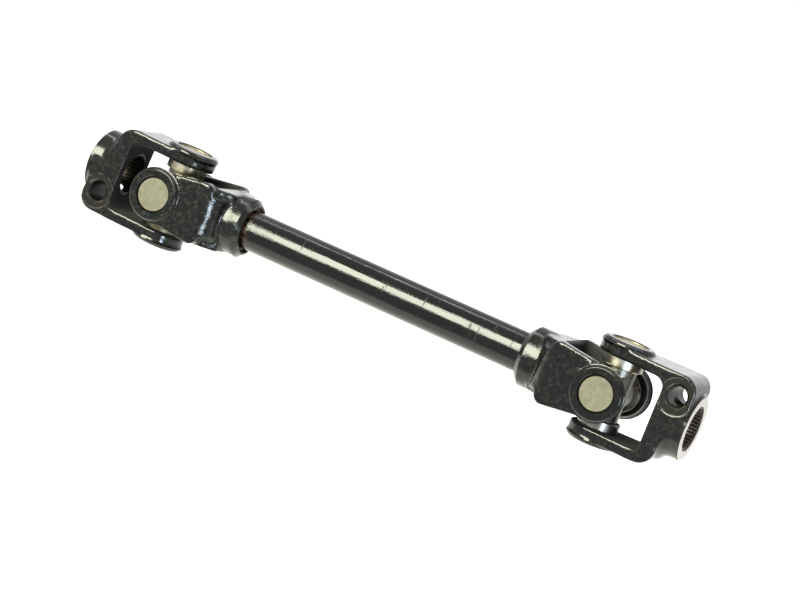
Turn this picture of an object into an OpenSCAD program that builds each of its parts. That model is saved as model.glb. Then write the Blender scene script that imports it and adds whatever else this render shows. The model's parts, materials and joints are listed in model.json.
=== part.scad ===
// Intermediate steering shaft: a round bar with a cardan joint at each end.
// +X runs along the bar, +Z is up, and the origin is midway between the joints.
// Each joint is drawn once, about its own centre, with its outer fork towards +X
// and the bar towards -X. Joint b keeps that frame and joint a is turned half
// a turn about Y, so that the two pinch lugs end up on opposite sides.

/* [Shaft] */
// Distance between the two joint centres
joint_span = 218; // [180:1:420]
// Diameter of the shaft bar
bar_d = 17.8; // [15:0.1:19]
// Angle by which the outer fork of joint a hangs out of line at rest
swing_a = 3; // [0:0.5:10]

/* [Bearings] */
// Distance over the outer faces of two opposite bearing cups
cups_over = 44; // [43:0.2:48]
// Outer diameter of a bearing cup
cup_d = 16; // [15.4:0.1:16.8]
// Length of a bearing cup
cup_len = 9.4; // [9:0.1:9.8]
// Wall of a bearing cup round its needle rollers
cup_wall = 1.35; // [1.2:0.05:1.5]
// Thickness of the closed end of a bearing cup
cup_floor = 1.8; // [1.4:0.1:2.2]
// Chamfer on the closed end of a bearing cup
cup_edge = 0.8; // [0.4:0.1:1]
// Depth of a cup's face below the face of its ear
cup_recess = 0.7; // [0.4:0.1:1]
// Diameter of one needle roller
needle_d = 1.6; // [1.5:0.1:1.8]
// Length of one needle roller
needle_len = 6.2; // [5.4:0.1:6.4]

/* [Seals] */
// Wall of the seal retainer round the skirt of a cup
seal_wall = 1; // [0.7:0.1:1.3]
// Thickness of the seal's floor between cup and cross
seal_floor = 1; // [0.8:0.1:1.2]
// Rounding on the rim of a seal retainer
seal_edge = 0.4; // [0.2:0.1:0.5]

/* [Cross] */
// Radius of the shoulder that a trunnion springs from
shoulder_r = 7.2; // [6.6:0.1:7.6]
// Thickness of the web that joins the four trunnions
web_t = 9.5; // [8:0.5:12]
// Depth of the web's rim below the shoulders
web_drop = 0.9; // [0.6:0.1:1.5]
// Chamfer on the end of a trunnion
trunnion_edge = 0.6; // [0.4:0.1:0.8]

/* [Ears] */
// Thickness of an ear along its bearing
ear_t = 6.9; // [6.5:0.1:7.1]
// Radius of an outer fork's ear round its bearing
ear_r = 11.6; // [11.2:0.1:12]
// Radius of an inner fork's ear round its bearing
inner_ear_r = 11.2; // [10.8:0.1:11.8]
// Height of the machined face of an ear above the arm
ear_boss = 1.9; // [1.2:0.1:2.2]
// Chamfer round the machined face of an ear
ear_edge = 0.9; // [0.6:0.1:1.1]

/* [Inner forks] */
// Distance from the joint centre to the inner face of the fork's base
inner_throat = 24; // [23.6:0.1:25.6]
// Distance from the joint centre to the back of the fork's base
inner_base = 30.5; // [30:0.1:32]
// Half height of the arms where they join the base
inner_half = 14; // [13.4:0.1:14.4]
// Distance from the joint centre to the widest place of the arms
inner_wide_at = 21.5; // [20:0.5:22]
// Radius of the shoulders seen from above
inner_shoulder_r = 9.5; // [7:0.5:10]
// Radius of the shoulders seen from the front
inner_side_r = 4.5; // [3.5:0.5:6]
// Radius in the corners of the throat
inner_corner_r = 6; // [4:0.5:7]
// Length of the collar behind the base
collar_len = 9.7; // [9:0.1:11]
// Wall of the collar round the bar
collar_wall = 4.7; // [4.2:0.1:5.4]
// Chamfer on the rim of the collar
collar_edge = 1.4; // [0.8:0.1:1.8]
// Depth to which the bar is seated in the collar
bar_seat = 12.6; // [10:0.1:13]
// Width of the recess round the bar in the collar's end
recess_w = 1.8; // [1:0.1:2.4]
// Depth of that recess
recess_deep = 1.6; // [1:0.1:2]

/* [Outer forks] */
// Distance from the joint centre to the inner face of the fork's base
outer_throat = 22.6; // [22.2:0.1:23.4]
// Thickness of the base beside the hub
outer_base_t = 7.4; // [6.5:0.1:8.5]
// Half depth of the base and of the pinch lug
outer_half = 14.2; // [13.8:0.1:14.4]
// Distance from the joint centre to the widest place of the arms
outer_wide_at = 19; // [16:0.5:20]
// Radius of the outer corner beside the hub
outer_corner_r = 7.5; // [6:0.5:9]
// Radius on the base's outer edge at the back
base_back_r = 3.6; // [2:0.2:4]
// Depth of the relief on the base's inner edge at the back
relief_deep = 4; // [2:0.5:5]
// Angle of that relief
relief_angle = 30; // [20:1:35]
// Radius in the corners of the throat
throat_corner_r = 4.5; // [3:0.5:6]
// Radius of the hub
hub_r = 14.5; // [14.2:0.1:15]
// Distance from the joint centre to the machined end of hub a
hub_end_a = 39.6; // [38.4:0.1:42]
// Distance from the joint centre to the machined end of hub b
hub_end_b = 38.2; // [37.8:0.1:42]
// Width of the flare where the hub meets the base
hub_flare = 3; // [1:0.1:3.4]
// Chamfer on the rim of the hub
hub_edge = 0.6; // [0.4:0.1:1]
// Distance from the joint centre to the end of the pinch lug
lug_end = 36.8; // [36.4:0.1:37.2]
// Radius of the outer corner of the pinch lug
lug_corner_r = 7; // [5:0.5:8]
// Radius on the lug's outer edge at the back
lug_back_r = 5; // [3:0.5:6]

/* [Splined bore] */
// Diameter over the tips of the serrations
spline_d = 17.8; // [17:0.1:18.4]
// Depth of a serration
spline_deep = 0.75; // [0.6:0.05:0.85]
// Number of serrations
spline_n = 36; // [30:1:40]
// Share of the pitch that a serration's tip takes
spline_land = 0.42; // [0.36:0.02:0.5]
// Chamfer at both mouths of the bore
spline_edge = 0.7; // [0.5:0.1:1]

/* [Pinch bolt hole] */
// Diameter of the pinch bolt hole
pinch_d = 8.5; // [8:0.1:9]
// Distance of the hole from the axis of the bore
pinch_off = 11.5; // [11.2:0.1:12]
// Distance of the hole from the joint centre
pinch_at = 29.7; // [29.4:0.1:30]
// Diameter of the spot face for the bolt's head
spot_d = 16; // [15:0.5:16.5]
// Depth of the spot face
spot_deep = 0.5; // [0.4:0.1:0.8]
// Chamfer on the hole inside the spot face
pinch_edge = 1.1; // [0.6:0.1:1.4]

/* [Clearances] */
// Radial running clearance of the needle rollers
run_gap = 0.02; // [0.01:0.01:0.04]
// End play between a trunnion and the floor of its cup
end_gap = 0.05; // [0.02:0.01:0.1]
// Gap between two neighbouring needle rollers
needle_gap = 0.06; // [0.04:0.01:0.1]
// Radial allowance of a seated piece
seat_gap = 0.01; // [0.01:0.01:0.02]
// Gap between a seal and what turns or stands beside it
seal_gap = 0.25; // [0.15:0.05:0.35]
// Gap between the seal's lip and the trunnion
lip_gap = 0.1; // [0.05:0.05:0.15]

/* [Hidden] */
$fn = 96;
past = 1;
half_span = joint_span / 2;
cup_r = cup_d / 2;
cup_face = cups_over / 2;
cup_mouth = cup_face - cup_len;
cup_floor_at = cup_face - cup_floor;
cup_bore_r = cup_r - cup_wall;
needle_r = needle_d / 2;
pitch_r = cup_bore_r - run_gap - needle_r;
trunnion_r = pitch_r - needle_r - run_gap;
trunnion_end = cup_floor_at - end_gap;
needle_top = cup_floor_at - end_gap;
needle_n = floor(180 / asin((needle_r + needle_gap / 2) / pitch_r));
seal_r = cup_r + seat_gap + seal_wall;
seal_base = cup_mouth - seat_gap - seal_floor;
shoulder_at = seal_base - seal_gap;
ear_face = cup_face + cup_recess;
ear_inner = ear_face - ear_t;
seal_rim = ear_inner - seal_gap;
arm_face = ear_face - ear_boss;
cup_seat_r = cup_r + seat_gap;
bar_r = bar_d / 2;
collar_r = bar_r + collar_wall;
collar_end = inner_base + collar_len;
core_r = collar_r - 1.4;
outer_base = outer_throat + outer_base_t;
spline_r = spline_d / 2;
spline_root_r = spline_r + spline_deep;

paint = "#1d2022";
steel = "#b3ae95";
bright = "#c9c9c4";
zinc = "#a79a5e";

// Angle and point at which a straight arm leaves an ear's circle tangentially
// on its way to a half width at a distance from the joint centre.
function arm_lean(r, far, half) = atan2(half, far) + acos(r / norm([far, half]));
function arm_start(r, far, half) =
    [r * cos(arm_lean(r, far, half)), r * sin(arm_lean(r, far, half))];

// Placement of the two joints
module at_b() { translate([half_span, 0, 0]) children(); }
module at_a() { translate([-half_span, 0, 0]) rotate([0, 180, 0]) children(); }
module at_a_swung() {
    translate([-half_span, 0, 0]) rotate([0, 180 + swing_a, 0]) children();
}

// Directions of the four bearings; each child is drawn along +Z
module to_front() { rotate([90, 0, 0]) children(); }
module to_back() { rotate([-90, 0, 0]) children(); }
module to_lug() { children(); }
module to_far() { rotate([180, 0, 0]) children(); }

// Extrusions of an outline drawn in X and Z, and of one drawn in X and Y
module along_y(depth) { rotate([90, 0, 0]) linear_extrude(depth, center = true) children(); }
module along_z(depth) { linear_extrude(depth, center = true) children(); }

// Rectangle from a to b whose two corners at its +X side have radii of their own
module nosed(a, b, r_low, r_high) {
    square_between(a, [b.x - max(r_low, r_high), b.y]);
    square_between(a, [b.x - r_low, b.y - r_high]);
    square_between([a.x, a.y + r_low], [b.x - r_high, b.y]);
    square_between([a.x, a.y + r_low], [b.x, b.y - r_high]);
    if (r_low > 0) translate([b.x - r_low, a.y + r_low]) circle(r_low);
    if (r_high > 0) translate([b.x - r_high, b.y - r_high]) circle(r_high);
}
module square_between(a, b) { translate(a) square(b - a); }

// Ear's circle with two straight arms that widen away from it, towards +X
module arm_outline(r, far, half, end) {
    start = arm_start(r, far, half);
    circle(r);
    polygon([
        [0, 0], [start.x, start.y], [far, half], [end, half],
        [end, -half], [far, -half], [start.x, -start.y]
    ]);
}

// Machined face of an ear of radius r, along +Z
module ear_boss_solid(r) {
    translate([0, 0, ear_inner + past]) {
        cylinder(h = ear_t - past - ear_edge, r = r);
        translate([0, 0, ear_t - past - ear_edge])
            cylinder(h = ear_edge, r1 = r, r2 = r - ear_edge);
    }
}

// Bore that seats a bearing cup, along +Z
module cup_seat() {
    translate([0, 0, ear_inner - past]) cylinder(h = ear_t + 2 * past, r = cup_seat_r);
}

module inner_side() {
    mirror([1, 0]) {
        arm_outline(inner_ear_r, inner_wide_at, inner_half, inner_wide_at + past);
        square_between([inner_wide_at, -inner_half + inner_side_r],
                       [inner_base, inner_half - inner_side_r]);
        for (s = [-1, 1]) translate([inner_wide_at, s * (inner_half - inner_side_r)])
            circle(inner_side_r);
    }
}

module inner_plan() {
    mirror([1, 0]) difference() {
        nosed([-inner_ear_r, -arm_face], [inner_base, arm_face],
              inner_shoulder_r, inner_shoulder_r);
        nosed([-inner_ear_r - past, -ear_inner], [inner_throat, ear_inner],
              inner_corner_r, inner_corner_r);
    }
}

module inner_fork() {
    color(paint) difference() {
        union() {
            intersection() {
                along_y(2 * arm_face) inner_side();
                along_z(2 * inner_half) inner_plan();
            }
            rotate([0, -90, 0]) translate([0, 0, inner_throat])
                cylinder(h = collar_end - inner_throat - collar_edge, r = core_r);
            rotate([0, -90, 0]) translate([0, 0, inner_base]) {
                cylinder(h = collar_len - collar_edge, r = collar_r);
                translate([0, 0, collar_len - collar_edge])
                    cylinder(h = collar_edge, r1 = collar_r, r2 = collar_r - collar_edge);
            }
            to_front() ear_boss_solid(inner_ear_r);
            to_back() ear_boss_solid(inner_ear_r);
        }
        to_front() cup_seat();
        to_back() cup_seat();
        rotate([0, -90, 0]) translate([0, 0, collar_end - bar_seat])
            cylinder(h = bar_seat + past, r = bar_r + seat_gap);
        rotate([0, -90, 0]) translate([0, 0, collar_end - recess_deep])
            cylinder(h = recess_deep + past, r = bar_r + recess_w);
    }
}

// Space between the arms of the outer fork, from a distance to the throat
module outer_window(from) {
    nosed([from, -ear_inner], [outer_throat, ear_inner], throat_corner_r, throat_corner_r);
}

// Outer fork without its hub: arms and base, then the pinch lug
module outer_body() {
    intersection() {
        along_y(2 * outer_half) nosed([-ear_r, -arm_face], [outer_base, arm_face],
                                      outer_corner_r, 0);
        along_z(2 * arm_face) {
            arm_outline(ear_r, outer_wide_at, outer_half, outer_base - base_back_r);
            nosed([outer_wide_at, -outer_half], [outer_base, outer_half], 0, base_back_r);
        }
    }
    intersection() {
        along_y(2 * outer_half) nosed([outer_throat, 0], [lug_end, arm_face], 0, lug_corner_r);
        along_z(2 * arm_face) nosed([outer_throat, -outer_half], [lug_end, outer_half],
                                    0, lug_back_r);
    }
}

// Hub with its flare at the base and its chamfered rim, along +X, cut flush with
// the faces of the base and the lug
module hub_solid(hub_end) {
    base = outer_base - outer_throat;
    end = hub_end - outer_throat;
    intersection() {
        translate([outer_throat, 0, 0]) rotate([0, 90, 0]) rotate_extrude() polygon([
            [0, 0], [hub_r, 0], [hub_r + hub_flare, base - past], [hub_r + hub_flare, base],
            [hub_r + hub_flare * 0.3, base + hub_flare * 0.4], [hub_r, base + hub_flare * 1.2],
            [hub_r, end - hub_edge], [hub_r - hub_edge, end], [0, end]
        ]);
        translate([0, -outer_half, -cup_face]) cube([hub_end + past, 2 * outer_half, 2 * cup_face]);
    }
}

// Serrated bore: its tips lie on one cylinder and its roots are cut between them
module spline_bore(hub_end) {
    len = hub_end - outer_throat + 2 * past;
    pitch = 360 / spline_n;
    tip = pitch * (1 - spline_land) / 2;
    root = tip * 0.45;
    inside = spline_r - 0.4;
    translate([0, 0, outer_throat - past]) {
        cylinder(h = len, r = spline_r);
        for (i = [0 : spline_n - 1]) rotate([0, 0, i * pitch]) linear_extrude(len) polygon([
            [inside, -spline_r * sin(tip)], [spline_r * cos(tip), -spline_r * sin(tip)],
            [spline_root_r, -spline_root_r * sin(root)], [spline_root_r, spline_root_r * sin(root)],
            [spline_r * cos(tip), spline_r * sin(tip)], [inside, spline_r * sin(tip)]
        ]);
    }
    mouth_r = spline_root_r + spline_edge;
    translate([0, 0, hub_end - spline_edge])
        cylinder(h = 2 * spline_edge, r1 = spline_root_r, r2 = spline_root_r + 2 * spline_edge);
    translate([0, 0, outer_throat - spline_edge])
        cylinder(h = 2 * spline_edge, r1 = mouth_r + spline_edge, r2 = spline_root_r);
}

module pinch_hole() {
    translate([pinch_at, 0, pinch_off]) rotate([90, 0, 0]) {
        cylinder(h = 2 * (outer_half + past), r = pinch_d / 2, center = true);
        for (s = [0, 1]) mirror([0, 0, s]) {
            translate([0, 0, outer_half - spot_deep])
                cylinder(h = spot_deep + past, r = spot_d / 2);
            translate([0, 0, outer_half - spot_deep - pinch_edge])
                cylinder(h = 2 * pinch_edge, r1 = pinch_d / 2, r2 = pinch_d / 2 + 2 * pinch_edge);
        }
    }
}

module outer_fork(hub_end) {
    color(paint) difference() {
        union() {
            outer_body();
            hub_solid(hub_end);
            to_lug() ear_boss_solid(ear_r);
            to_far() ear_boss_solid(ear_r);
        }
        along_y(2 * (outer_half + past)) outer_window(-ear_r - past);
        translate([outer_throat, outer_half - relief_deep, 0]) rotate([0, 0, -relief_angle])
            translate([-outer_throat, 0, 0]) along_y(4 * relief_deep)
                outer_window(outer_throat - 2 * relief_deep);
        to_lug() cup_seat();
        to_far() cup_seat();
        rotate([0, 90, 0]) spline_bore(hub_end);
        pinch_hole();
    }
}

// One trunnion of the cross with its shoulder, along +Z from the centre
module trunnion() {
    cylinder(h = shoulder_at, r = shoulder_r);
    cylinder(h = trunnion_end - trunnion_edge, r = trunnion_r);
    translate([0, 0, trunnion_end - trunnion_edge])
        cylinder(h = trunnion_edge, r1 = trunnion_r, r2 = trunnion_r - trunnion_edge);
}

module cross() {
    color(bright) {
        to_front() trunnion();
        to_back() trunnion();
        to_lug() trunnion();
        to_far() trunnion();
        rotate([0, 90, 0]) cylinder(h = web_t, r = shoulder_at - web_drop, center = true);
    }
}

module cup() {
    color(steel) rotate_extrude() polygon([
        [0, cup_floor_at], [cup_bore_r, cup_floor_at], [cup_bore_r, cup_mouth],
        [cup_r, cup_mouth], [cup_r, cup_face - cup_edge], [cup_r - cup_edge, cup_face],
        [0, cup_face]
    ]);
}

module needles() {
    color(bright) for (i = [0 : needle_n - 1]) rotate([0, 0, i * 360 / needle_n])
        translate([pitch_r, 0, needle_top - needle_len]) cylinder(h = needle_len, r = needle_r, $fn = 24);
}

module seal() {
    inner = cup_r + seat_gap;
    lip = trunnion_r + lip_gap;
    color(zinc) rotate_extrude() polygon([
        [lip, seal_base], [seal_r - seal_edge, seal_base], [seal_r, seal_base + seal_edge],
        [seal_r, seal_rim], [inner, seal_rim], [inner, seal_base + seal_floor],
        [lip, seal_base + seal_floor]
    ]);
}

module shaft_bar() {
    len = joint_span - 2 * (collar_end - bar_seat);
    edge = 0.8;
    color(paint) rotate([0, 90, 0]) rotate_extrude() polygon([
        [0, -len / 2], [bar_r - edge, -len / 2], [bar_r, -len / 2 + edge],
        [bar_r, len / 2 - edge], [bar_r - edge, len / 2], [0, len / 2]
    ]);
}

shaft_bar();
at_a() inner_fork();  // inner_fork_a
at_b() inner_fork();  // inner_fork_b
at_a_swung() cross();  // cross_a
at_b() cross();  // cross_b
at_a_swung() outer_fork(hub_end_a);  // outer_fork_a
at_b() outer_fork(hub_end_b);  // outer_fork_b
at_a() to_front() cup();  // cup_a_front
at_a() to_back() cup();  // cup_a_back
at_a_swung() to_far() cup();  // cup_a_upper
at_a_swung() to_lug() cup();  // cup_a_lower
at_b() to_front() cup();  // cup_b_front
at_b() to_back() cup();  // cup_b_back
at_b() to_lug() cup();  // cup_b_upper
at_b() to_far() cup();  // cup_b_lower
at_a() to_front() needles();  // needles_a_front
at_a() to_back() needles();  // needles_a_back
at_a_swung() to_far() needles();  // needles_a_upper
at_a_swung() to_lug() needles();  // needles_a_lower
at_b() to_front() needles();  // needles_b_front
at_b() to_back() needles();  // needles_b_back
at_b() to_lug() needles();  // needles_b_upper
at_b() to_far() needles();  // needles_b_lower
at_a() to_front() seal();  // seal_a_front
at_a() to_back() seal();  // seal_a_back
at_a_swung() to_far() seal();  // seal_a_upper
at_a_swung() to_lug() seal();  // seal_a_lower
at_b() to_front() seal();  // seal_b_front
at_b() to_back() seal();  // seal_b_back
at_b() to_lug() seal();  // seal_b_upper
at_b() to_far() seal();  // seal_b_lower
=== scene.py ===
"""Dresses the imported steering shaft: painted forged forks, a painted bar and steel bearings."""

import json
import math

import bmesh
import bpy
import numpy as np
from bpy.props import FloatProperty, IntProperty, PointerProperty
from mathutils import Matrix, Vector


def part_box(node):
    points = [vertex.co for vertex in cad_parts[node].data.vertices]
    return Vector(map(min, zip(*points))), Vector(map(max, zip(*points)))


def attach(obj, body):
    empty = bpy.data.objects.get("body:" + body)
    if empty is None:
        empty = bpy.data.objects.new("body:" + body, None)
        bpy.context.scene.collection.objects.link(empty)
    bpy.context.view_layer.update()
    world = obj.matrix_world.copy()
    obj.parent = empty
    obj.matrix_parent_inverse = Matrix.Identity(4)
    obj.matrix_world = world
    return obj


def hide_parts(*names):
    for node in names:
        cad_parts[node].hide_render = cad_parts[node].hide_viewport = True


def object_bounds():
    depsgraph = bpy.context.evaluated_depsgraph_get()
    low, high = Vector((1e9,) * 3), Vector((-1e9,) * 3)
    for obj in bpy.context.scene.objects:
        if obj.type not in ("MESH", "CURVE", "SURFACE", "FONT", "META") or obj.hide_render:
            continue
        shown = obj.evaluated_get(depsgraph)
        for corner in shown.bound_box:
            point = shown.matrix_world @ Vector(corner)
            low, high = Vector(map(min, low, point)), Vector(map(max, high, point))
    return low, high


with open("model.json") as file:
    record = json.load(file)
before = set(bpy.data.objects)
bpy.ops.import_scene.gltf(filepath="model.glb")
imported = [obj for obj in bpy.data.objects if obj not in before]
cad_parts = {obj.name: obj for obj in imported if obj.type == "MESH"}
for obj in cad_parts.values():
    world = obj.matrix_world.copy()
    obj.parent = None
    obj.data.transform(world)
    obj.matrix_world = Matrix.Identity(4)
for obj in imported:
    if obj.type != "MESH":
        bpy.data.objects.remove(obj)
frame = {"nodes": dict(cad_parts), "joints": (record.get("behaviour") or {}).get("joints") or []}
CAD_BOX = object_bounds()

bl_info = {
    "name": "Steering Shaft Dresser",
    "version": (1, 0, 0),
    "blender": (4, 5, 0),
    "location": "3D View > Sidebar > Steering Shaft",
    "description": "Builds the looks of an intermediate steering shaft around its packed solids",
    "category": "Object",
}

# Camera, worked out from the photograph's perspective
CAMERA_AZIMUTH = 19.436
CAMERA_ELEVATION = 8.018
CAMERA_ROLL = 21.399
CAMERA_DISTANCE = 1.1391
CAMERA_TARGET = (0.007327, 0.0, -0.001045)
CAMERA_LENS = 119.392
CAMERA_SENSOR = 36.0

MM = 0.001

# Sizes read from the frame
JOINTS = {j["name"]: j for j in frame["joints"]}
HALF_SPAN = (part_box("cross_b")[0].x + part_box("cross_b")[1].x) / 2
SWING_A = math.atan2(JOINTS["hub_a_swing"]["axis"][0], JOINTS["hub_a_swing"]["axis"][2])
CUP_R = (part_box("cup_b_front")[1].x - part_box("cup_b_front")[0].x) / 2
EAR_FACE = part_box("inner_fork_b")[1].y
CUP_MOUTH = -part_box("cup_b_front")[1].y
COLLAR_END = HALF_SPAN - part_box("inner_fork_b")[0].x
BAR_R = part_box("shaft_bar")[1].z
BAR_END = HALF_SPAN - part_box("shaft_bar")[1].x
OUTER_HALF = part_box("outer_fork_b")[1].y

# Sizes shared with the solids
HUB_END = {"a": 39.6 * MM, "b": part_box("outer_fork_b")[1].x - HALF_SPAN}
OUTER_THROAT = 22.6 * MM
INNER_THROAT = 24.0 * MM
OUTER_EAR_R = 11.6 * MM
INNER_EAR_R = 11.2 * MM
EAR_BOSS = 1.9 * MM
EAR_INNER = EAR_FACE - 6.9 * MM
HUB_R = 14.5 * MM
SPLINE_TEETH = 36
SPLINE_R = 8.9 * MM
SPLINE_DEEP = 0.75 * MM
PINCH_AT = 29.7 * MM
PINCH_OFF = 11.5 * MM
PINCH_R = 4.25 * MM
SPOT_R = 8.0 * MM
SPOT_DEEP = 0.5 * MM
COLLAR_R = 13.6 * MM
RECESS_R = BAR_R + 1.8 * MM
RECESS_DEEP = 1.6 * MM

# Finish of the forgings: necks, fillets, rounded rims, chamfers and the room that cutters need
NECK_SPAN = {"a": (-12.9 * MM, 13.8 * MM), "b": (-11.8 * MM, 12.9 * MM)}
NECK_OUTLINE = np.array([(-22, -16.8), (-27, -15.2), (-30.8, -12), (-32.4, -10.6),
                         (-32.4, 10.6), (-30.8, 12), (-27, 15.2), (-22, 16.8)]) * MM
OUTER_FILLET = 0.6 * MM
INNER_FILLET = 1.2 * MM
OUTER_RIM = 1.7 * MM
INNER_RIM = 0.5 * MM
BORE_EDGE = 0.7 * MM
HUB_EDGE = 0.6 * MM
HOLE_EDGE = 1.1 * MM
COLLAR_LIP_R = BAR_R + 2.6 * MM
COLLAR_SLOPE = 3.4 * MM
PLAY = 0.015 * MM
SKIM = 0.02 * MM
FOOT_STOCK = 0.06 * MM
FACE_STOCK = 0.8 * MM
SEAT_STOCK = 0.5 * MM
BOSS_STOCK = 0.4 * MM
CLEAR = 2 * MM
SHARP_ANGLE = math.radians(32)
MERGE_REACH = 1e-6
RIM_STEPS = 7

# Colours of paint, dirt, metal and floor, and of painted light and shade
PAINT = (0.0008, 0.0010, 0.0009, 1)
# Hazy paint: its lighter patches are partly the paint's haze and partly painted reflection
HAZE_AND_SHEEN = (0.0110, 0.0124, 0.0090, 1)
THROAT_DARK = (0.0012, 0.0010, 0.0008, 1)
BROWN = (0.0085, 0.0062, 0.0042, 1)
STAIN = (0.020, 0.0085, 0.0035, 1)
WORN = (0.024, 0.022, 0.019, 1)
# Oil in the inner forks' seats, and painted shade deep inside the hub bores
OIL_AND_SHADE = (0.010, 0.008, 0.006, 1)
RUST = (0.08, 0.058, 0.02, 1)
MACHINED = (0.46, 0.43, 0.40, 1)
SEAT_STEEL = (0.30, 0.27, 0.18, 1)
# Serrated bore: painted highlight on the teeth crests and painted shade in the roots
LIT_TEETH = (0.24, 0.205, 0.18, 1)
SHADED_ROOTS = (0.026, 0.021, 0.017, 1)
# Near-black wall of the pinch hole: painted shade
HOLE_SHADE = (0.006, 0.005, 0.004, 1)
SPOT = (0.0048, 0.0042, 0.0028, 1)
# Rubbed rings round the pinch hole: partly bare rubbed metal, partly painted glints
RUBBED_AND_GLINT = (0.15, 0.138, 0.11, 1)
# Cup ends: the upright cups get a paler copy of the side cups' colours as painted light
SIDE_CUP = ((0.069, 0.0645, 0.043, 1), (0.087, 0.0825, 0.056, 1))
LIT_UPRIGHT_CUP = ((0.145, 0.138, 0.105, 1), (0.19, 0.18, 0.14, 1))
CUP_FLECK = (0.060, 0.046, 0.012, 1)
# Dark chamfer round each cup end: painted shade
CUP_EDGE_SHADE = (0.012, 0.012, 0.010, 1)
FLOOR = (0.93, 0.93, 0.93, 1)

# Light colours
WHITE = (1, 1, 1)
SOFT_YELLOW = (0.985, 1.0, 0.80)
PALE_BLUE = (0.72, 0.86, 1.0)

# Paint: how hazy each fork and its ears' faces are, set fork by fork so that some come out lighter
# and others darker as painted light and shade, and how the coat bends light
HAZE_AND_LIGHT_BY_FORK = {"inner a": 1.0, "inner b": 0.7, "outer a": 0.7, "outer b": 0.6}
EAR_HAZE_AND_LIGHT = {"a": 1.2, "b": 0.45}
PAINT_IOR = 1.36

# Heights of the surfaces' bumps
FORGED_BUMPS = 0.12 * MM
BAR_BUMPS = 0.03 * MM
STEEL_BUMPS = 0.01 * MM
SPOT_RINGS = 0.0028 * MM
CUP_RINGS = 0.002 * MM

# Plain steels by the start of a solid's name: look, two colours, dullness and cloud scale
STEELS = {
    "seal": ("plated seal", (0.30, 0.255, 0.14, 1), (0.26, 0.26, 0.25, 1), 0.2, 120.0),
    # The lower seals get darker copies of the seal colours: painted shade under the joints
    "seal_a_lower": ("shaded lower seal a", (0.045, 0.038, 0.024, 1), (0.10, 0.09, 0.06, 1), 0.3, 260.0),
    "seal_b_lower": ("shaded lower seal b", (0.10, 0.095, 0.08, 1), (0.18, 0.175, 0.16, 1), 0.25, 200.0),
    "cross": ("oily cross steel", (0.05, 0.05, 0.046, 1), (0.12, 0.115, 0.10, 1), 0.28, 260.0),
    "needles": ("roller steel", (0.4, 0.4, 0.4, 1), (0.3, 0.3, 0.28, 1), 0.2, 300.0),
}


class StagePlan(bpy.types.PropertyGroup):
    """Camera, floor and light."""

    floor_drop: FloatProperty(
        name="Floor Drop", description="How far the floor lies below the part",
        default=0.16, min=0.0, subtype="DISTANCE", unit="LENGTH")
    floor_front: FloatProperty(
        name="Floor Front", description="How far the floor reaches in front of the part",
        default=0.14, min=0.0, subtype="DISTANCE", unit="LENGTH")
    floor_size: FloatProperty(
        name="Floor Size", description="How far the floor reaches sideways and behind",
        default=6.0, min=0.5, subtype="DISTANCE", unit="LENGTH")
    backdrop: FloatProperty(
        name="Surroundings", description="Brightness of the pale surroundings",
        default=1.05, min=0.0, soft_max=3.0)
    back_light: FloatProperty(
        name="Back Light", description="Brightness of the wide light behind, against white",
        default=0.55, min=0.0)
    side_light: FloatProperty(
        name="Side Light", description="Brightness of the narrow cool light at the right",
        default=48.0, min=0.0)
    side_rise: FloatProperty(
        name="Side Rise", description="Height of the cool light as an angle about the bar",
        default=math.radians(-3), subtype="ANGLE", unit="ROTATION")
    side_reach: FloatProperty(
        name="Side Reach", description="How far the cool light stands to the right of the part",
        default=1.5, subtype="DISTANCE", unit="LENGTH")
    key_light: FloatProperty(
        name="Key Light",
        description="Brightness of the soft light above the camera, against white",
        default=34.0, min=0.0)
    key_rise: FloatProperty(
        name="Key Rise", description="Height of the soft light as an angle about the bar",
        default=math.radians(25.5), subtype="ANGLE", unit="ROTATION")
    key_side: FloatProperty(
        name="Key Side", description="How far the soft light stands to the left of the part",
        default=0.55, subtype="DISTANCE", unit="LENGTH")
    key_width: FloatProperty(
        name="Key Width", description="Width of the soft light",
        default=1.1, min=0.1, subtype="DISTANCE", unit="LENGTH")
    key_height: FloatProperty(
        name="Key Height", description="Height of the soft light as an angle seen from the part",
        default=math.radians(34), subtype="ANGLE", unit="ROTATION")
    key_distance: FloatProperty(
        name="Key Distance", description="Distance of the soft light from the bar",
        default=1.6, min=0.3, subtype="DISTANCE", unit="LENGTH")
    strip_light: FloatProperty(
        name="Strip Light", description="Brightness of the narrow light overhead, against white",
        default=9.5, min=0.0)


class ForgePlan(bpy.types.PropertyGroup):
    """Forged forks with machined seats."""

    step: FloatProperty(
        name="Surface Step", description="Size of the cells that the skin is rebuilt from",
        default=0.4 * MM, min=0.2 * MM, subtype="DISTANCE", unit="LENGTH")
    passes: IntProperty(
        name="Rounding Passes", description="Smoothing passes that round the forged edges",
        default=34, min=0)
    seat_edge: FloatProperty(
        name="Seat Chamfer", description="Chamfer at the mouth of each bearing seat",
        default=0.45 * MM, min=0.0, subtype="DISTANCE", unit="LENGTH")


def joint_centre(side):
    """Where a joint's centre lies along the bar."""
    return HALF_SPAN if side == "b" else -HALF_SPAN


def joint_turn(side, swung):
    """Turn about Y that points +X from a joint's centre to its outer fork."""
    if side == "b":
        return 0.0
    return math.pi + (SWING_A if swung else 0.0)


def joint_place(side, swung=False):
    """Placement of a joint's own frame, whose outer fork points towards +X."""
    turn = Matrix.Rotation(joint_turn(side, swung), 4, "Y")
    return Matrix.Translation((joint_centre(side), 0, 0)) @ turn


def along(axis):
    """Turn that takes +Z to the named direction."""
    turns = {"+x": (90, "Y"), "-x": (-90, "Y"), "+y": (-90, "X"), "-y": (90, "X"),
             "+z": (0, "X"), "-z": (180, "X")}
    angle, about = turns[axis]
    return Matrix.Rotation(math.radians(angle), 4, about)


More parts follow.
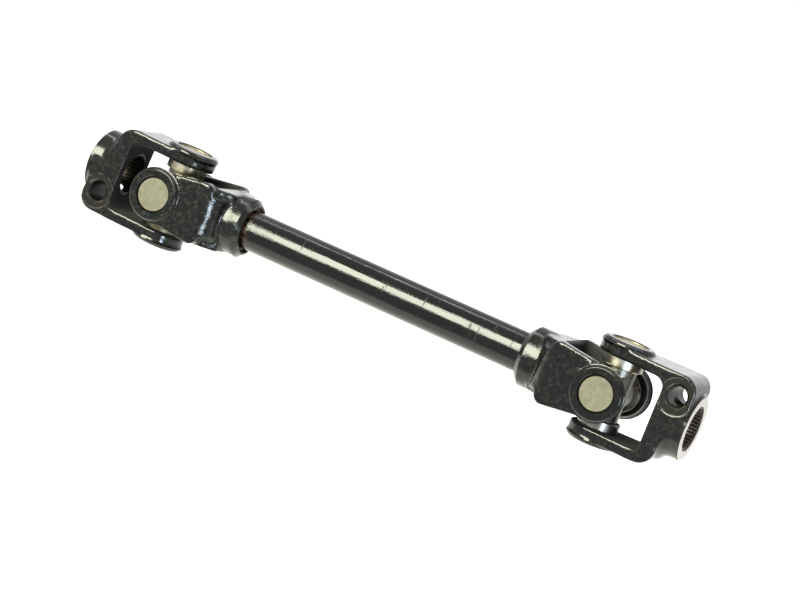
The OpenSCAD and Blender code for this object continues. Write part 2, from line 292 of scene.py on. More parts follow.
def turned_solid(name, profile, place, steps=128, hollow=False):
    """Closed solid of revolution about Z. The surface is (r(s) cos t, r(s) sin t, z(s)), where t
    runs once round the axis and s along the profile. The profile starts and ends on the axis, or
    runs once round a hollow ring that keeps clear of it."""
    r, z = np.array(profile, float).T
    t = np.linspace(0, 2 * np.pi, steps, endpoint=False)
    points = np.stack([r[:, None] * np.cos(t), r[:, None] * np.sin(t),
                       np.repeat(z[:, None], steps, 1)], -1).reshape(-1, 3)
    row = np.arange(len(r))[:, None] * steps
    after_row = np.roll(row, -1, 0)
    if not hollow:
        row = row[:-1]
        after_row = after_row[:-1]
    here = np.arange(steps)
    after = (here + 1) % steps
    faces = np.stack([row + here, row + after, after_row + after, after_row + here], -1)
    return solid_object(name, points, faces.reshape(-1, 4).tolist(), place)


def prism_solid(name, outline, low, high, place):
    """Closed prism over an outline in X and Y, from one height to another."""
    flat = np.array(outline, float)
    n = len(flat)
    points = np.concatenate([np.column_stack([flat, np.full(n, low)]),
                             np.column_stack([flat, np.full(n, high)])])
    here = np.arange(n)
    after = (here + 1) % n
    faces = np.stack([here, after, after + n, here + n], 1).tolist()
    return solid_object(name, points, faces + [here[::-1].tolist(), (here + n).tolist()], place)


def solid_object(name, points, faces, place):
    """Object made from points and faces, with coincident points merged and faces outward."""
    mesh = bpy.data.meshes.new(name)
    mesh.from_pydata(points.tolist(), [], faces)
    clean_mesh(mesh)
    mesh.transform(place)
    return linked(name, mesh)


def linked(name, data):
    """New object in the scene that shows the mesh, light or camera."""
    obj = bpy.data.objects.new(name, data)
    bpy.context.collection.objects.link(obj)
    return obj


def clean_mesh(mesh):
    """Merges coincident points and turns all faces outward."""
    shell = bmesh.new()
    shell.from_mesh(mesh)
    bmesh.ops.remove_doubles(shell, verts=shell.verts, dist=MERGE_REACH)
    bmesh.ops.dissolve_degenerate(shell, edges=shell.edges, dist=MERGE_REACH)
    bmesh.ops.recalc_face_normals(shell, faces=shell.faces)
    shell.to_mesh(mesh)
    shell.free()


def joined(name, mesh, extras):
    """Object with a merged copy of the mesh and the extra solids as further shells."""
    whole = bmesh.new()
    whole.from_mesh(mesh)
    bmesh.ops.remove_doubles(whole, verts=whole.verts, dist=MERGE_REACH)
    for extra in extras:
        whole.from_mesh(extra.data)
        bpy.data.objects.remove(extra)
    result = bpy.data.meshes.new(name)
    whole.to_mesh(result)
    whole.free()
    return linked(name, result)


def evaluated(obj):
    """New mesh of the object with all its modifiers carried out."""
    bpy.context.view_layer.update()
    return bpy.data.meshes.new_from_object(
        obj.evaluated_get(bpy.context.evaluated_depsgraph_get()))


def forge(name, node, fills, cuts, plan):
    """Forged body: the node's solid with its bores filled is rebuilt as an even skin, smoothed so
    that its edges are round. The machined places are then cut sharp."""
    blank = joined(name, frame["nodes"][node].data, fills)
    skin = blank.modifiers.new("even skin", "REMESH")
    skin.mode = "VOXEL"
    skin.voxel_size = plan.step
    soften = blank.modifiers.new("rounding", "SMOOTH")
    soften.factor = 0.5
    soften.iterations = plan.passes
    blank.data = evaluated(blank)
    blank.modifiers.clear()
    for cut in cuts:
        mill = blank.modifiers.new("machining", "BOOLEAN")
        mill.operation = "DIFFERENCE"
        mill.solver = "MANIFOLD"
        mill.object = cut
    shaped = evaluated(blank)
    shaped.name = name
    blank.modifiers.clear()
    blank.data = shaped
    for cut in cuts:
        bpy.data.objects.remove(cut)
    shaped.shade_smooth()
    shaped.set_sharp_from_angle(angle=SHARP_ANGLE)
    shaped.materials.clear()
    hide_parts(node)
    return blank


def seat_cut(axis, place, plan):
    """Cutter for one bearing seat with its chamfered mouth."""
    r = CUP_R + PLAY
    edge = plan.seat_edge
    reach = 1 * MM
    profile = [(0, CUP_MOUTH), (r, CUP_MOUTH), (r, EAR_FACE - edge),
               (r + edge + reach, EAR_FACE + reach), (0, EAR_FACE + reach)]
    return turned_solid("seat", profile, place @ along(axis))


def face_cut(axis, place, radius, edge, fillet):
    """Cutter that turns an ear's face flat, rounds its rim and leaves a fillet at its foot."""
    face = EAR_FACE - SKIM
    foot = EAR_FACE - EAR_BOSS + FOOT_STOCK
    wide = radius + 4 * MM
    top = face + CLEAR
    turn = np.linspace(0, math.pi / 2, RIM_STEPS)
    rim = np.column_stack([radius - edge + edge * np.sin(turn),
                           face - edge + edge * np.cos(turn)])
    root = np.column_stack([radius + fillet - fillet * np.cos(turn),
                            foot + fillet - fillet * np.sin(turn)])
    profile = np.concatenate([[(0, face)], rim, root, [(wide, foot), (wide, top), (0, top)]])
    return turned_solid("ear face", profile, place @ along(axis))


def seat_fill(axis, place, radius, fillet):
    """Filling for one bearing seat, with stock to spare on the ear's outer face."""
    r = CUP_R + SEAT_STOCK
    top = EAR_FACE + FACE_STOCK
    foot = EAR_FACE - EAR_BOSS
    wide = radius + BOSS_STOCK
    profile = [(0, EAR_INNER), (r, EAR_INNER), (r, foot), (wide + fillet, foot),
               (wide + fillet, foot + fillet), (wide, foot + fillet), (wide, top), (0, top)]
    return turned_solid("fill", profile, place @ along(axis), steps=64)


def spline_outline():
    """Outline of the serrated bore: tips on one circle and tapered roots between them."""
    shares = np.array([-0.29, -0.13, 0.13, 0.29])
    radii = np.array([0.0, 1.0, 1.0, 0.0]) * SPLINE_DEEP + SPLINE_R
    angle = (np.arange(SPLINE_TEETH)[:, None] + shares) * 2 * np.pi / SPLINE_TEETH
    return np.stack([radii * np.cos(angle), radii * np.sin(angle)], -1).reshape(-1, 2)


class FORGE_OT_outer(bpy.types.Operator):
    """Build the two outer forks with serrated hub, pinch hole and bearing seats"""

    bl_idname = "steering_shaft.build_outer_forks"
    bl_label = "Build Outer Forks"

    def execute(self, context):
        plan = context.scene.shaft_forge
        for side in ("a", "b"):
            self.build_side(side, plan)
        return {"FINISHED"}

    def build_side(self, side, plan):
        place = joint_place(side, swung=True)
        out = place @ along("+x")
        pin = place @ Matrix.Translation((PINCH_AT, 0, PINCH_OFF)) @ along("+y")
        end = HUB_END[side]
        beyond_end = end + 2 * CLEAR
        root = SPLINE_R + SPLINE_DEEP
        mouth = root + BORE_EDGE
        ledge = OUTER_THROAT + BORE_EDGE
        shoulder = HUB_R + 5 * MM
        spot = OUTER_HALF - SPOT_DEEP
        wide = PINCH_R + HOLE_EDGE
        top = OUTER_HALF + CLEAR
        fills = [
            seat_fill("+z", place, OUTER_EAR_R, OUTER_FILLET),
            seat_fill("-z", place, OUTER_EAR_R, OUTER_FILLET),
            turned_solid("fill", [
                (0, OUTER_THROAT), (mouth, OUTER_THROAT), (mouth, end - CLEAR),
                (HUB_R, end - CLEAR), (HUB_R, end + CLEAR), (0, end + CLEAR)], out, steps=96),
            turned_solid("fill", [
                (0, -spot), (wide, -spot), (wide, spot), (0, spot)], pin, steps=64)]
        cuts = [
            face_cut("+z", place, OUTER_EAR_R, OUTER_RIM, OUTER_FILLET),
            face_cut("-z", place, OUTER_EAR_R, OUTER_RIM, OUTER_FILLET),
            seat_cut("+z", place, plan),
            seat_cut("-z", place, plan),
            prism_solid("serrations", spline_outline(), OUTER_THROAT - CLEAR, beyond_end, out),
            turned_solid("mouth", [
                (0, OUTER_THROAT - CLEAR), (mouth + CLEAR, OUTER_THROAT - CLEAR),
                (root, ledge), (0, ledge)], out),
            turned_solid("hub end", [
                (0, end - BORE_EDGE), (root, end - BORE_EDGE), (mouth, end),
                (HUB_R - HUB_EDGE, end), (HUB_R + HUB_EDGE, end - 2 * HUB_EDGE),
                (shoulder, end - 2 * HUB_EDGE), (shoulder, beyond_end), (0, beyond_end)], out),
            turned_solid("pinch hole", [
                (0, -top), (SPOT_R, -top), (SPOT_R, -spot), (wide, -spot),
                (PINCH_R, HOLE_EDGE - spot), (PINCH_R, spot - HOLE_EDGE), (wide, spot),
                (SPOT_R, spot), (SPOT_R, top), (0, top)], pin)]
        fork = forge("forged_outer_fork_" + side, "outer_fork_" + side, fills, cuts, plan)
        fork.data.materials.append(forged_paint(side, True))
        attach(fork, "hub_fork_" + side)


class FORGE_OT_inner(bpy.types.Operator):
    """Build the two inner forks with collar, recess and bearing seats"""

    bl_idname = "steering_shaft.build_inner_forks"
    bl_label = "Build Inner Forks"

    def execute(self, context):
        plan = context.scene.shaft_forge
        for side in ("a", "b"):
            self.build_side(side, plan)
        return {"FINISHED"}

    def build_side(self, side, plan):
        place = joint_place(side)
        back = place @ along("-x")
        end = COLLAR_END
        ledge = end - RECESS_DEEP
        bore = BAR_R + PLAY
        outside = COLLAR_R + MM
        fills = [
            seat_fill("+y", place, INNER_EAR_R, INNER_FILLET),
            seat_fill("-y", place, INNER_EAR_R, INNER_FILLET),
            turned_solid("fill", [
                (0, BAR_END - MM), (RECESS_R, BAR_END - MM), (RECESS_R, end), (0, end)], back,
                steps=96),
            prism_solid("fill", NECK_OUTLINE, *NECK_SPAN[side], place)]
        cuts = [
            face_cut("+y", place, INNER_EAR_R, INNER_RIM, INNER_FILLET),
            face_cut("-y", place, INNER_EAR_R, INNER_RIM, INNER_FILLET),
            seat_cut("+y", place, plan),
            seat_cut("-y", place, plan),
            turned_solid("bar seat", [
                (0, BAR_END), (bore, BAR_END), (bore, ledge), (RECESS_R, ledge),
                (RECESS_R, end + CLEAR), (0, end + CLEAR)], back),
            turned_solid("collar rim", [
                (outside, end - COLLAR_SLOPE), (outside, end + MM), (COLLAR_LIP_R, end + MM),
                (COLLAR_LIP_R, end + SKIM)], back, hollow=True)]
        fork = forge("forged_inner_fork_" + side, "inner_fork_" + side, fills, cuts, plan)
        fork.data.materials.append(forged_paint(side, False))
        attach(fork, "shaft")


def new_material(name):
    """Empty procedural material, its tree and its main shader."""
    material = bpy.data.materials.new(name)
    material.use_nodes = True
    tree = material.node_tree
    return material, tree, tree.nodes["Principled BSDF"]


def add_node(tree, kind, feeds=None, **settings):
    """Adds a node, sets its options and fills its inputs with values or other nodes' outputs."""
    node = tree.nodes.new(kind)
    for key, value in settings.items():
        setattr(node, key, value)
    for key, value in (feeds or {}).items():
        fill(tree, node.inputs[key], value)
    return node


def fill(tree, socket, value):
    """Gives an input a value, or links another node's output to it."""
    if isinstance(value, bpy.types.NodeSocket):
        tree.links.new(value, socket)
    else:
        socket.default_value = value


def coat(tree, skin, colour, dullness, height):
    """Feeds a shader its colour and dullness, and the bumps that the height makes."""
    fill(tree, skin.inputs["Base Color"], colour)
    fill(tree, skin.inputs["Roughness"], dullness)
    bump = add_node(tree, "ShaderNodeBump", {"Height": height, "Distance": 1.0, "Strength": 1.0})
    fill(tree, skin.inputs["Normal"], bump.outputs[0])


def maths(tree, operation, *values):
    """Output of one arithmetic step."""
    return add_node(tree, "ShaderNodeMath", dict(enumerate(values)), operation=operation).outputs[0]


def chain(tree, operation, values):
    """Output of one kind of arithmetic step carried on over all the values."""
    whole = values[0]
    for value in values[1:]:
        whole = maths(tree, operation, whole, value)
    return whole


def total(tree, *values):
    """Sum of the values."""
    return chain(tree, "ADD", values)


def product(tree, *values):
    """Product of the values. With masks it holds only where all of them hold."""
    return chain(tree, "MULTIPLY", values)


def most(tree, *masks):
    """Mask that holds where any of the masks holds."""
    return chain(tree, "MAXIMUM", masks)


def ramp(tree, value, low, high, at_low, at_high):
    """Value that goes smoothly from one level to another between two limits."""
    return add_node(tree, "ShaderNodeMapRange", {
        "Value": value, "From Min": low, "From Max": high, "To Min": at_low, "To Max": at_high},
        interpolation_type="SMOOTHSTEP").outputs[0]


def within(tree, value, limit, soft=0.05 * MM):
    """Mask that is one below the limit and fades to none just above it."""
    return ramp(tree, value, limit, limit + soft, 1.0, 0.0)


def beyond(tree, value, limit, soft=0.05 * MM):
    """Mask that is one above the limit and fades to none just below it."""
    return ramp(tree, value, limit - soft, limit, 0.0, 1.0)


def band(tree, value, middle, half):
    """Mask that is one at the middle and fades to none a half width away."""
    off = maths(tree, "ABSOLUTE", maths(tree, "SUBTRACT", value, middle))
    return within(tree, off, 0.0, half)


def reach_of(tree, a, b):
    """Distance from the axis across which the two values are measured."""
    return maths(tree, "SQRT", total(tree, product(tree, a, a), product(tree, b, b)))


def noise(tree, place, scale, detail=3.0, rough=0.5):
    """Cloudy value between none and one."""
    return add_node(tree, "ShaderNodeTexNoise", {
        "Vector": place, "Scale": scale, "Detail": detail, "Roughness": rough}).outputs["Fac"]


def blend(tree, mask, first, second):
    """Colour that goes from the first to the second with the mask."""
    node = add_node(tree, "ShaderNodeMix", {0: mask, 6: first, 7: second}, data_type="RGBA")
    return node.outputs[2]


def mixed(tree, mask, first, second):
    """Value that goes from the first to the second with the mask."""
    node = add_node(tree, "ShaderNodeMix", {0: mask, 2: first, 3: second}, data_type="FLOAT")
    return node.outputs[0]


def part_coordinates(tree):
    """Place on the part."""
    return add_node(tree, "ShaderNodeTexCoord").outputs["Object"]


def stretched(tree, place, shares):
    """Place with its coordinates scaled: what is spread over it is longer where they are small."""
    return add_node(tree, "ShaderNodeMapping", {"Vector": place, "Scale": shares}).outputs[0]


def joint_coordinates(tree, side, swung):
    """Place on the part in a joint's own frame, and its three coordinates."""
    local = add_node(tree, "ShaderNodeMapping", {
        "Vector": part_coordinates(tree), "Location": (joint_centre(side), 0, 0),
        "Rotation": (0, joint_turn(side, swung), 0)}, vector_type="TEXTURE").outputs[0]
    parts = add_node(tree, "ShaderNodeSeparateXYZ", {0: local}).outputs
    return local, parts[0], parts[1], parts[2]


def new_group(name, vectors, inputs, outputs):
    """Empty node group with the named sockets: the group, its inputs and its outputs."""
    group = bpy.data.node_groups.new(name, "ShaderNodeTree")
    for key in vectors:
        group.interface.new_socket(key, in_out="INPUT", socket_type="NodeSocketVector")
    for key in inputs:
        group.interface.new_socket(key, in_out="INPUT", socket_type="NodeSocketFloat")
    for key in outputs:
        group.interface.new_socket(key, in_out="OUTPUT", socket_type="NodeSocketFloat")
    inlet = group.nodes.new("NodeGroupInput")
    outlet = group.nodes.new("NodeGroupOutput")
    return group, inlet.outputs, outlet.inputs


def forging_group():
    """Shared skin of a painted forging: the height of its lumps, dents and orange peel, and the
    places where the paint is hazy, whose lighter patches on the forks also stand in for painted
    reflection."""
    group = bpy.data.node_groups.get("forging skin")
    if group:
        return group
    group, given, wanted = new_group("forging skin", ["Place"], ["Lumps", "Peel"],
                                     ["Height", "Haze"])
    place = given["Place"]
    lumps = product(group, noise(group, place, scale=190.0, detail=1.0), given["Lumps"])
    dents = product(group, noise(group, place, scale=430.0, detail=1.5), 0.45)
    peel = product(group, noise(group, place, scale=1500.0, detail=2.0, rough=0.7), given["Peel"])
    cloud = noise(group, place, scale=520.0, detail=6.0, rough=0.75)
    fill(group, wanted["Height"], total(group, lumps, dents, peel))
    fill(group, wanted["Haze"], beyond(group, cloud, 0.70, soft=0.26))
    return group


def turning_group():
    """Shared marks of a turned or spot-faced surface: fine rings whose height depends on the
    distance from the axis."""
    group = bpy.data.node_groups.get("turning marks")
    if group:
        return group
    group, given, wanted = new_group("turning marks", [], ["Distance", "Pitch"], ["Height"])
    turns = maths(group, "DIVIDE", given["Distance"], given["Pitch"])
    wave = maths(group, "SINE", product(group, turns, 2 * math.pi))
    slow = maths(group, "SINE", product(group, turns, 2.17))
    fill(group, wanted["Height"], product(group, wave, total(group, slow, 1.4)))
    return group


def turning_marks(tree, distance, pitch, height):
    """Height of the rings that a cutter leaves, a pitch apart, at a distance from its axis."""
    rings = add_node(tree, "ShaderNodeGroup", {"Distance": distance, "Pitch": pitch},
                 node_tree=turning_group())
    return product(tree, rings.outputs["Height"], height)


def forged_paint(side, outer):
    """Gloss black paint over a forging, with hazy patches that are partly painted reflection and
    lighter on some forks than on others as painted light; dull, darker and brownish between the
    arms. Its machined seats are bare, rusty or oily steel."""
    kind = "outer" if outer else "inner"
    material, tree, skin = new_material(f"{kind} fork paint {side}")
    local, x, y, z = joint_coordinates(tree, side, outer)
    grain = add_node(tree, "ShaderNodeGroup", {
        "Place": local, "Lumps": 1.2 if outer else 2.6, "Peel": 0.18 if outer else 0.55},
        node_tree=forging_group()).outputs
    depth = maths(tree, "ABSOLUTE", z if outer else y)
    seat = reach_of(tree, x, y if outer else z)
    in_seat = product(tree, within(tree, seat, CUP_R + 0.05 * MM),
                      beyond(tree, depth, EAR_FACE - 7.5 * MM))
    forward = x if outer else product(tree, x, -1.0)
    throat = OUTER_THROAT if outer else INNER_THROAT
    inside = product(tree, within(tree, depth, EAR_INNER + 0.2 * MM, soft=0.4 * MM),
                     within(tree, forward, throat + 0.2 * MM, soft=0.4 * MM))
    cloud = noise(tree, local, scale=700.0, detail=4.0, rough=0.6)
    smear = noise(tree, local, scale=400.0, detail=5.0, rough=0.7)
    # Between the arms the paint turns dull and darker, in brownish blotches
    throat_tone = blend(tree, beyond(tree, smear, 0.72, soft=0.2), THROAT_DARK, BROWN)
    on_face = beyond(tree, depth, EAR_FACE - 0.6 * MM, soft=0.3 * MM)
    # Haze strength differs from fork to fork and on the ear faces: painted light and shade over the
    # paint's haze
    strength = HAZE_AND_LIGHT_BY_FORK[f"{kind} {side}"]
    haze_and_sheen = product(tree, grain["Haze"], mixed(tree, on_face, strength, EAR_HAZE_AND_LIGHT[side] * strength))
    colour = blend(tree, haze_and_sheen, PAINT, HAZE_AND_SHEEN)
    colour = blend(tree, inside, colour, throat_tone)
    dullness = total(tree, product(tree, grain["Haze"], 0.14), 0.12 if outer else 0.07)
    dullness = mixed(tree, inside, dullness, 1.0 if outer else 0.7)
    height = product(tree, grain["Height"], FORGED_BUMPS)
    height = mixed(tree, product(tree, on_face, 0.75), height, 0.0)
    if outer:
        colour, height, bare = hub_looks(tree, side, (local, x, y, z), cloud, colour, height)
        colour = blend(tree, in_seat, colour, blend(tree, cloud, SEAT_STEEL, RUST))
        bare = most(tree, in_seat, bare)
    else:
        near_bar = product(tree, within(tree, reach_of(tree, y, z), RECESS_R + 0.1 * MM),
                           within(tree, x, -COLLAR_END + RECESS_DEEP + 0.1 * MM))
        rusty = noise(tree, local, scale=300.0, detail=4.0, rough=0.7)
        stain = product(tree, near_bar, 1.0 if side == "a" else 0.35,
                        beyond(tree, rusty, 0.55, soft=0.2))
        colour = blend(tree, stain, colour, STAIN)
        colour = blend(tree, in_seat, colour, blend(tree, cloud, OIL_AND_SHADE, BROWN))
        dullness = mixed(tree, stain, dullness, 0.6)
        bare = in_seat
    fill(tree, skin.inputs["Metallic"], product(tree, bare, 0.85))
    skin.inputs["IOR"].default_value = PAINT_IOR
    coat(tree, skin, colour, mixed(tree, bare, dullness, 0.42), height)
    return material


def hub_looks(tree, side, places, cloud, colour, height):
    """Machined places of a hub: its serrated bore, with painted highlight on the teeth and painted
    shade in the roots and deep inside, its end, and the pinch hole with its wall in painted shade
    and its rubbed and ringed spot face, whose rubbed rings are partly painted glints. Gives the new
    colour and height and the mask of what is bare."""
    local, x, y, z = places
    hub = reach_of(tree, y, z)
    in_bore = product(tree, within(tree, hub, SPLINE_R + SPLINE_DEEP + 0.25 * MM),
                      beyond(tree, x, OUTER_THROAT - MM))
    on_end = beyond(tree, x, HUB_END[side] - 0.12 * MM)
    from_hole = reach_of(tree, maths(tree, "SUBTRACT", x, PINCH_AT),
                         maths(tree, "SUBTRACT", z, PINCH_OFF))
    # The pinch hole's wall is painted shade
    in_hole = within(tree, from_hole, PINCH_R + 0.1 * MM)
    on_spot = product(tree, within(tree, from_hole, SPOT_R),
                      beyond(tree, maths(tree, "ABSOLUTE", y), OUTER_HALF - 1.7 * MM))
    height = mixed(tree, on_spot, height, turning_marks(tree, from_hole, 0.8 * MM, SPOT_RINGS))
    # Rings at the spot face's rim and the hole's chamfer: partly rubbed bare, partly painted glints
    ring = most(tree, band(tree, from_hole, SPOT_R - 0.3 * MM, 0.3 * MM),
                band(tree, from_hole, PINCH_R + 0.9 * MM, 0.45 * MM))
    patches = beyond(tree, noise(tree, local, scale=260.0), 0.66, soft=0.2)
    rubbed = product(tree, on_spot, ring, patches, 0.4)
    # Lighter crests and darker roots: painted highlight and painted shade on the teeth
    crest = within(tree, hub, SPLINE_R + 0.22 * MM, soft=0.25 * MM)
    steel = blend(tree, product(tree, crest, cloud), SHADED_ROOTS, LIT_TEETH)
    # Darker towards the throat end of the bore: painted shade deep inside it
    steel = blend(tree, within(tree, x, OUTER_THROAT + 7 * MM, soft=5 * MM), steel, OIL_AND_SHADE)
    for mask, finish in ((on_spot, SPOT), (rubbed, RUBBED_AND_GLINT), (in_bore, steel), (in_hole, HOLE_SHADE),
                         (on_end, MACHINED)):
        colour = blend(tree, mask, colour, finish)
    return colour, height, most(tree, in_bore, on_end, in_hole, rubbed)


def bar_paint():
    """Gloss black paint over a drawn bar: faint runs along it, orange peel and a rusty stain at the
    left collar, scuffs across it at the right one and a few rubbed places."""
    material, tree, skin = new_material("bar paint")
    here = part_coordinates(tree)
    along_bar = add_node(tree, "ShaderNodeSeparateXYZ", {0: here}).outputs[0]
    left_end = -HALF_SPAN + COLLAR_END
    right_end = HALF_SPAN - COLLAR_END
    drawn = stretched(tree, here, (0.05, 1, 1))
    wrapped = stretched(tree, here, (1, 0.1, 0.1))
    streaks = product(tree, noise(tree, drawn, scale=900.0, rough=0.6), 2.0)
    at_left = within(tree, along_bar, left_end + 4 * MM, soft=22 * MM)
    peel = product(tree, noise(tree, here, scale=900.0, rough=0.65),
                   total(tree, 0.8, product(tree, at_left, 4.0)))
    at_right = beyond(tree, along_bar, right_end - 4 * MM, soft=7 * MM)
    scratches = beyond(tree, noise(tree, wrapped, scale=1100.0, rough=0.6), 0.66, soft=0.08)
    elsewhere = beyond(tree, noise(tree, here, scale=60.0, detail=2.0), 0.66, soft=0.03)
    scuffs = product(tree, scratches, most(tree, at_right, elsewhere))
    height = product(tree, total(tree, streaks, peel, product(tree, scuffs, 1.2)), BAR_BUMPS)
    worn = beyond(tree, noise(tree, here, scale=170.0, detail=5.0, rough=0.75), 0.74, soft=0.03)
    beside = within(tree, along_bar, left_end + 0.4 * MM, soft=3 * MM)
    rusty = noise(tree, here, scale=500.0, detail=4.0, rough=0.7)
    stain = product(tree, beside, beyond(tree, rusty, 0.6, soft=0.2))
    colour = blend(tree, product(tree, scuffs, 0.5), PAINT, HAZE_AND_SHEEN)
    colour = blend(tree, stain, colour, STAIN)
    colour = blend(tree, worn, colour, WORN)
    cloud = noise(tree, here, scale=60.0, detail=5.0, rough=0.7)
    dullness = total(tree, product(tree, beyond(tree, cloud, 0.6, soft=0.2), 0.08),
                     product(tree, most(tree, stain, scuffs), 0.4), 0.075)
    skin.inputs["IOR"].default_value = PAINT_IOR
    coat(tree, skin, colour, dullness, height)
    return material


def plain_steel(name, colour, second, rough, scale):
    """Bare steel whose colour and dullness drift a little from place to place."""
    material, tree, skin = new_material(name)
    here = part_coordinates(tree)
    cloud = beyond(tree, noise(tree, here, scale, detail=5.0, rough=0.6), 0.62, soft=0.3)
    fine = product(tree, noise(tree, here, scale=1500.0), STEEL_BUMPS)
    skin.inputs["Metallic"].default_value = 1.0
    coat(tree, skin, blend(tree, cloud, colour, second),
         total(tree, product(tree, cloud, 0.15), rough), fine)
    return material


def cup_steel(side, outer):
    """Drawn bearing cup: a dull beige end with painted shade on the chamfer round it. The upper and
    lower cups get a paler copy of the end colour as painted light, with brown flecks towards the
    rim."""
    material, tree, skin = new_material(f"{'outer' if outer else 'inner'} cup steel {side}")
    local, x, y, z = joint_coordinates(tree, side, outer)
    off = reach_of(tree, x, y if outer else z)
    rim = beyond(tree, off, CUP_R - 0.55 * MM, soft=0.3 * MM)
    cloud = noise(tree, local, scale=480.0, detail=5.0, rough=0.7)
    end = blend(tree, beyond(tree, cloud, 0.62, soft=0.24), *(LIT_UPRIGHT_CUP if outer else SIDE_CUP))
    if outer:
        flecks = noise(tree, local, scale=260.0, detail=4.0, rough=0.65)
        patch = product(tree, beyond(tree, flecks, 0.56, soft=0.1),
                        beyond(tree, off, 0.75 * CUP_R, soft=0.4 * CUP_R))
        end = blend(tree, patch, end, CUP_FLECK)
    skin.inputs["Metallic"].default_value = 0.5
    coat(tree, skin, blend(tree, rim, end, CUP_EDGE_SHADE),
         mixed(tree, rim, 0.42 if outer else 0.55, 0.3),
         turning_marks(tree, off, 0.35 * MM, CUP_RINGS))
    return material


class STEEL_OT_dress(bpy.types.Operator):
    """Give the bar its paint, and the cups, seals, crosses and needles their steel"""

    bl_idname = "steering_shaft.dress_solids"
    bl_label = "Dress Bar and Bearings"

    def execute(self, context):
        looks = {"shaft_bar": bar_paint()}
        for key, steel in STEELS.items():
            looks[key] = plain_steel(*steel)
        for key, material in looks.items():
            for node, obj in frame["nodes"].items():
                if node.startswith(key):
                    dress(obj, material)
        for side in ("a", "b"):
            for outer, ends in ((False, ("front", "back")), (True, ("upper", "lower"))):
                material = cup_steel(side, outer)
                for end in ends:
                    dress(frame["nodes"][f"cup_{side}_{end}"], material)
        return {"FINISHED"}


def dress(obj, material):
    """Gives a solid its material."""
    obj.data.materials.clear()
    obj.data.materials.append(material)


def camera_axes():
    """The camera's right, up and backward directions: azimuth and elevation aim it, then the
    picture is rolled about the line of sight."""
    azimuth = math.radians(CAMERA_AZIMUTH)
    elevation = math.radians(CAMERA_ELEVATION)
    roll = math.radians(CAMERA_ROLL)
    back = Vector((math.sin(azimuth) * math.cos(elevation),
                   -math.cos(azimuth) * math.cos(elevation), math.sin(elevation)))
    right = Vector((math.cos(azimuth), math.sin(azimuth), 0.0))
    up = back.cross(right)
    return (right * math.cos(roll) + up * math.sin(roll),
            up * math.cos(roll) - right * math.sin(roll), back)


def soft_light(name, rise, distance, side, width, height, brightness, colour, aim=0.0):
    """Rectangular light beside the bar, raised by an angle about it, with its brightness given
    against white. It faces the bar squarely, or its middle with an aim of one."""
    light = bpy.data.lights.new(name, "AREA")
    light.shape = "RECTANGLE"
    light.size = width
    light.size_y = height
    light.color = colour
    light.energy = brightness * math.pi * width * height
    stand = Vector((side, -distance * math.cos(rise), distance * math.sin(rise)))
    z = Vector((side * aim, stand.y, stand.z)).normalized()
    x = Vector((0, 0, 1)).cross(z).normalized() if aim else Vector((1, 0, 0))
    turn = Matrix((x, z.cross(x), z)).transposed().to_4x4()
    turn.translation = stand
    linked(name, light).matrix_world = turn


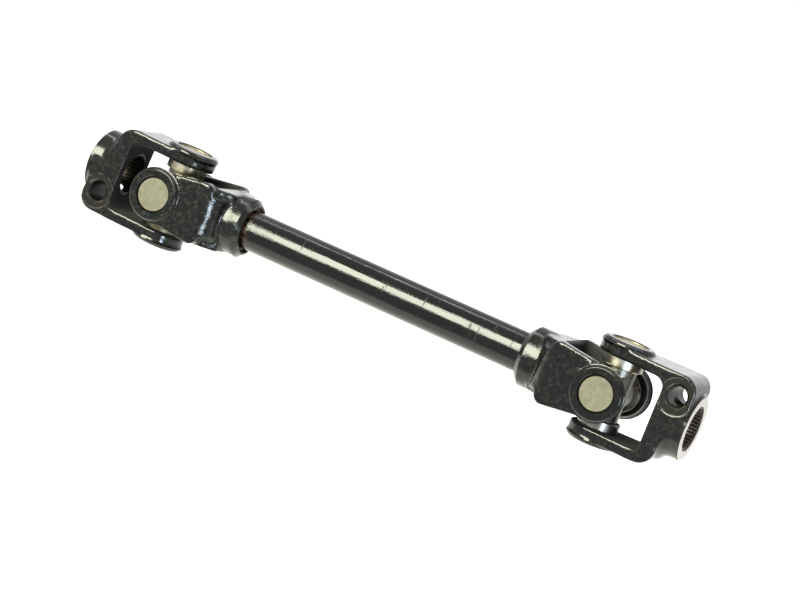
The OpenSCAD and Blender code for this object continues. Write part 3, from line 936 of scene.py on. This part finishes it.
class STAGE_OT_build(bpy.types.Operator):
    """Build the camera, the pale floor and the soft lights"""

    bl_idname = "steering_shaft.build_stage"
    bl_label = "Build Stage"

    def execute(self, context):
        plan = context.scene.shaft_stage
        self.build_camera(context.scene)
        self.build_lights(context.scene, plan)
        floor = pale_floor(plan)
        return {"FINISHED"}

    def build_camera(self, scene):
        right, up, back = camera_axes()
        camera = linked("camera", bpy.data.cameras.new("camera"))
        camera.data.sensor_width = CAMERA_SENSOR
        camera.data.lens = CAMERA_LENS
        camera.data.clip_end = 50.0
        turn = Matrix((right, up, back)).transposed().to_4x4()
        turn.translation = Vector(CAMERA_TARGET) + back * CAMERA_DISTANCE
        camera.matrix_world = turn
        scene.camera = camera
        scene.view_settings.view_transform = "Standard"

    def build_lights(self, scene, plan):
        world = bpy.data.worlds.new("surroundings")
        world.use_nodes = True
        world.node_tree.nodes["Background"].inputs["Color"].default_value = (*WHITE, 1)
        world.node_tree.nodes["Background"].inputs["Strength"].default_value = plan.backdrop
        scene.world = world
        soft_light("key light", rise=plan.key_rise, distance=plan.key_distance,
                   side=-plan.key_side, width=plan.key_width,
                   height=2 * plan.key_distance * math.tan(plan.key_height / 2),
                   brightness=plan.key_light, colour=SOFT_YELLOW)
        soft_light("strip light", rise=math.radians(102), distance=1.2, side=0.0, width=2.6,
                   height=0.12, brightness=plan.strip_light, colour=WHITE)
        soft_light("back light", rise=math.radians(164), distance=1.6, side=-0.6, width=2.0,
                   height=0.8, brightness=plan.back_light, colour=WHITE)
        soft_light("side light", rise=plan.side_rise, distance=1.5, side=plan.side_reach,
                   width=0.5, height=0.6, brightness=plan.side_light, colour=PALE_BLUE, aim=1.0)


def pale_floor(plan):
    """Plain pale floor, a little way below the part."""
    size = plan.floor_size
    front = -plan.floor_front
    level = CAD_BOX[0][2] - plan.floor_drop
    mesh = bpy.data.meshes.new("floor")
    mesh.from_pydata([(-size, front, level), (size, front, level), (size, size, level),
                      (-size, size, level)], [], [(0, 1, 2, 3)])
    material, _, skin = new_material("pale floor")
    skin.inputs["Base Color"].default_value = FLOOR
    skin.inputs["Roughness"].default_value = 0.9
    mesh.materials.append(material)
    return linked("floor", mesh)


class STEERING_PT_shaft(bpy.types.Panel):
    """Sidebar panel with every building step and its measures."""

    bl_label = "Steering Shaft"
    bl_idname = "STEERING_PT_shaft"
    bl_space_type = "VIEW_3D"
    bl_region_type = "UI"
    bl_category = "Steering Shaft"

    def draw(self, context):
        parts = ((context.scene.shaft_forge, (FORGE_OT_outer, FORGE_OT_inner)),
                 (None, (STEEL_OT_dress,)),
                 (context.scene.shaft_stage, (STAGE_OT_build,)))
        for plan, operators in parts:
            box = self.layout.box()
            if plan:
                for name in plan.__annotations__:
                    box.prop(plan, name)
            for operator in operators:
                box.operator(operator.bl_idname)


CLASSES = (StagePlan, ForgePlan, FORGE_OT_outer, FORGE_OT_inner, STEEL_OT_dress, STAGE_OT_build,
           STEERING_PT_shaft)


def register():
    for cls in CLASSES:
        bpy.utils.register_class(cls)
    bpy.types.Scene.shaft_stage = PointerProperty(type=StagePlan)
    bpy.types.Scene.shaft_forge = PointerProperty(type=ForgePlan)


def unregister():
    del bpy.types.Scene.shaft_forge
    del bpy.types.Scene.shaft_stage
    for cls in reversed(CLASSES):
        bpy.utils.unregister_class(cls)


def main():
    register()
    bpy.ops.steering_shaft.build_outer_forks()
    bpy.ops.steering_shaft.build_inner_forks()
    bpy.ops.steering_shaft.dress_solids()
    bpy.ops.steering_shaft.build_stage()


if __name__ == "__main__":
    main()
